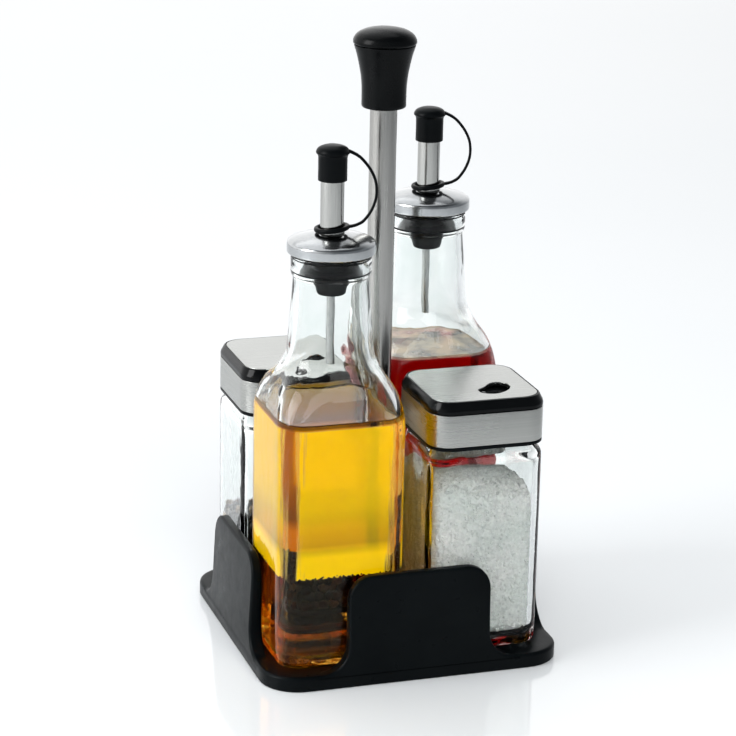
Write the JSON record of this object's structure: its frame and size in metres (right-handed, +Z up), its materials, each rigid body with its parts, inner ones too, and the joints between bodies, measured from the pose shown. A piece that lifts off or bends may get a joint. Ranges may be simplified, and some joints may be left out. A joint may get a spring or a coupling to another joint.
{
  "type": "cruet set",
  "caption": "Square moulded caddy with a centre pole and knob, holding square glass pouring bottles with capped spout stoppers and square shakers with steel-banded dial lids.",
  "frame": {"origin": "centre of the caddy's resting face, on the table", "axes": "+Z up along the pole, +X to the right along the front edge, +Y to the back"},
  "size_m": [0.1264, 0.1264, 0.2552],
  "materials": {
    "black_moulding": "satin black injection moulding",
    "soft_black": "soft black polyethylene",
    "brushed_steel": "brushed stainless steel",
    "polished_steel": "polished stainless steel",
    "plain_steel": "plain drawn steel",
    "brass": "machined brass",
    "clear_glass": "clear pressed soda-lime glass",
    "oil_liquid": "clear golden cooking oil",
    "vinegar_liquid": "clear dark red wine vinegar",
    "salt_grains": "coarse white salt grains",
    "pepper_grains": "mixed peppercorns",
    "seal": "translucent sealing ring"
  },
  "bodies": {
    "caddy": {"caddy_tray": "black_moulding", "pole_tube": "brushed_steel", "pole_tie_rod": "plain_steel", "base_washer": "plain_steel", "base_nut": "plain_steel", "knob_body": "black_moulding", "knob_insert": "brass", "knob_cap": "black_moulding"},
    "oil_bottle_body": {"oil_bottle": "clear_glass", "oil_fill": "oil_liquid"},
    "oil_stopper": {"oil_stopper_disc": "polished_steel", "oil_stopper_plug": "soft_black", "oil_pour_tube": "brushed_steel", "oil_vent_tube": "plain_steel", "oil_tether_ring": "soft_black"},
    "oil_cap": {"oil_spout_cap": "soft_black", "oil_tether_strap": "soft_black"},
    "vinegar_bottle_body": {"vinegar_bottle": "clear_glass", "vinegar_fill": "vinegar_liquid"},
    "vinegar_stopper": {"vinegar_stopper_disc": "polished_steel", "vinegar_stopper_plug": "soft_black", "vinegar_pour_tube": "brushed_steel", "vinegar_vent_tube": "plain_steel", "vinegar_tether_ring": "soft_black"},
    "vinegar_cap": {"vinegar_spout_cap": "soft_black", "vinegar_tether_strap": "soft_black"},
    "salt_shaker": {"salt_jar": "clear_glass", "salt_fill": "salt_grains"},
    "salt_lid": {"salt_lid_body": "black_moulding", "salt_lid_band": "brushed_steel", "salt_lid_bezel": "black_moulding", "salt_lid_plate": "brushed_steel", "salt_lid_gasket": "seal"},
    "salt_dial_body": {"salt_dial": "soft_black"},
    "pepper_shaker": {"pepper_jar": "clear_glass", "pepper_fill": "pepper_grains"},
    "pepper_lid": {"pepper_lid_body": "black_moulding", "pepper_lid_band": "brushed_steel", "pepper_lid_bezel": "black_moulding", "pepper_lid_plate": "brushed_steel", "pepper_lid_gasket": "seal"},
    "pepper_dial_body": {"pepper_dial": "soft_black"}
  },
  "joints": [
    {"name": "oil_bottle_lift", "type": "slide", "parent": "caddy", "child": "oil_bottle_body", "axis": [0, 0, 1], "range_m": [0, 0.09]},
    {"name": "oil_stopper_lift", "type": "slide", "parent": "oil_bottle_body", "child": "oil_stopper", "axis": [0, 0, 1], "range_m": [0, 0.055]},
    {"name": "oil_cap_lift", "type": "slide", "parent": "oil_stopper", "child": "oil_cap", "axis": [0, 0, 1], "range_m": [0, 0.0105], "deforming": ["oil_tether_strap"]},
    {"name": "vinegar_bottle_lift", "type": "slide", "parent": "caddy", "child": "vinegar_bottle_body", "axis": [0, 0, 1], "range_m": [0, 0.09]},
    {"name": "vinegar_stopper_lift", "type": "slide", "parent": "vinegar_bottle_body", "child": "vinegar_stopper", "axis": [0, 0, 1], "range_m": [0, 0.055]},
    {"name": "vinegar_cap_lift", "type": "slide", "parent": "vinegar_stopper", "child": "vinegar_cap", "axis": [0, 0, 1], "range_m": [0, 0.0105], "deforming": ["vinegar_tether_strap"]},
    {"name": "salt_shaker_lift", "type": "slide", "parent": "caddy", "child": "salt_shaker", "axis": [0, 0, 1], "range_m": [0, 0.07]},
    {"name": "salt_lid_lift", "type": "slide", "parent": "salt_shaker", "child": "salt_lid", "axis": [0, 0, 1], "range_m": [0, 0.03]},
    {"name": "salt_dial_turn", "type": "hinge", "parent": "salt_lid", "child": "salt_dial_body", "pos_m": [0.0304, -0.0304, 0.1095], "axis": [0, 0, 1], "range_deg": [0, 55]},
    {"name": "pepper_shaker_lift", "type": "slide", "parent": "caddy", "child": "pepper_shaker", "axis": [0, 0, 1], "range_m": [0, 0.07]},
    {"name": "pepper_lid_lift", "type": "slide", "parent": "pepper_shaker", "child": "pepper_lid", "axis": [0, 0, 1], "range_m": [0, 0.03]},
    {"name": "pepper_dial_turn", "type": "hinge", "parent": "pepper_lid", "child": "pepper_dial_body", "pos_m": [-0.0304, 0.0304, 0.1095], "axis": [0, 0, 1], "range_deg": [0, 55]}
  ]
}
